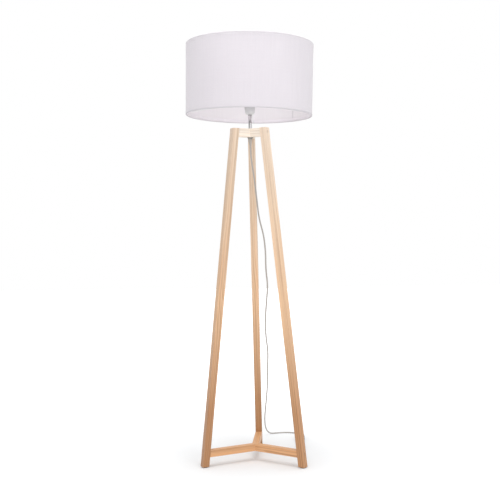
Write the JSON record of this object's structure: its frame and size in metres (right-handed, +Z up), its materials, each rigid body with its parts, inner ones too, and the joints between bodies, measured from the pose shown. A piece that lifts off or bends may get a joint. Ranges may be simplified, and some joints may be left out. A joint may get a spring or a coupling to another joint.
{
  "type": "tripod floor lamp",
  "caption": "Floor lamp with a drum shade on three square, leaning wooden legs tied together by mitred wooden frames near their tops and feet.",
  "frame": {"origin": "on the floor, under the axis of the stem and shade", "axes": "+Z up along the stem, +Y towards the rear leg, -Y between the two front legs, +X to the right"},
  "size_m": [0.45, 0.6412, 1.5001],
  "materials": {
    "pine": "satin",
    "beech": "satin",
    "felt": "matte",
    "zinc_steel": "satin",
    "brass": "polished",
    "chrome": "polished",
    "nylon": "satin",
    "holder_plastic": "glossy",
    "insulator": "glazed",
    "shell_metal": "satin",
    "opal_glass": "frosted",
    "shade_fabric": "matte",
    "white_wire": "satin",
    "cord_plastic": "satin",
    "rocker_plastic": "glossy",
    "tie_plastic": "satin",
    "wire_insulation": "satin"
  },
  "bodies": {
    "stand": {"leg_left": "pine", "leg_right": "pine", "leg_rear": "pine", "head_rail_left": "pine", "head_rail_right": "pine", "head_rail_rear": "pine", "stretcher_rail_left": "pine", "stretcher_rail_right": "pine", "stretcher_rail_rear": "pine", "mitre_dowels": "beech", "bolt_covers": "beech", "foot_pad_left": "felt", "foot_pad_right": "felt", "foot_pad_rear": "felt", "leg_bolts": "zinc_steel", "locating_pins": "zinc_steel", "threaded_nipple": "zinc_steel", "clamp_washer": "zinc_steel", "clamp_nut": "zinc_steel", "switch_screws": "zinc_steel", "terminal_screws": "zinc_steel", "threaded_inserts": "brass", "terminals": "brass", "centre_contact": "brass", "plug_blades": "brass", "stem_tube": "chrome", "lock_ring": "chrome", "cord_grip": "nylon", "holder_cap": "holder_plastic", "holder_skirt": "holder_plastic", "shade_ring": "holder_plastic", "holder_insulator": "insulator", "screw_shell": "shell_metal", "supply_core": "cord_plastic", "cord_hanging": "cord_plastic", "cord_hank": "cord_plastic", "cord_tail": "cord_plastic", "cord_lead": "cord_plastic", "plug_body": "cord_plastic", "switch_base": "cord_plastic", "switch_cover": "cord_plastic", "switch_glands": "cord_plastic", "hank_tie": "tie_plastic", "lead_wires": "wire_insulation"},
    "shade": {"shade_cover": "shade_fabric", "top_hoop": "white_wire", "bottom_hoop": "white_wire", "shade_spider": "white_wire"},
    "bulb": {"bulb_cap": "shell_metal", "bulb_globe": "opal_glass"},
    "rocker": {"switch_rocker": "rocker_plastic"}
  },
  "joints": [
    {"name": "shade_turn", "type": "hinge", "parent": "stand", "child": "shade", "pos_m": [0, 0, 1.2945], "axis": [0, 0, 1], "continuous": true},
    {"name": "bulb_lift", "type": "slide", "parent": "stand", "child": "bulb", "axis": [0, 0, 1], "range_m": [0, 0.12]},
    {"name": "rocker_tilt", "type": "hinge", "parent": "stand", "child": "rocker", "pos_m": [0.16569, 0.17658, 0.014], "axis": [0.9992, 0.0401, 0], "range_deg": [0, 18]}
  ]
}
